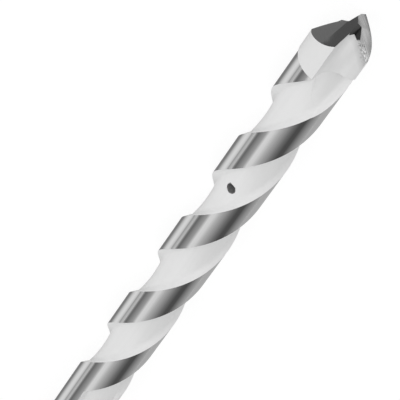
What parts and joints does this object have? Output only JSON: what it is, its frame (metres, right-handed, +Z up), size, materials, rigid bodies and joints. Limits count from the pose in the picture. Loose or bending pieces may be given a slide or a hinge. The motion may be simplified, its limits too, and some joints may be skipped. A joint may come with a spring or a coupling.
{
  "type": "bellhanger drill bit",
  "caption": "Long twist drill bit with a split point, a small cross hole through the web for pulling wire back, and a plain round shank.",
  "frame": {"origin": "under the middle of the bit's length, on the surface that it lies on", "axes": "+X along the drill axis towards the point, +Z up as it lies"},
  "size_m": [0.3048, 0.0096, 0.0091],
  "materials": {
    "body_steel": "polished lands, matt flutes",
    "head_metal": "fine ground"
  },
  "bodies": {
    "root": {"fluted_body": "body_steel", "cutting_head": "head_metal"}
  },
  "joints": []
}
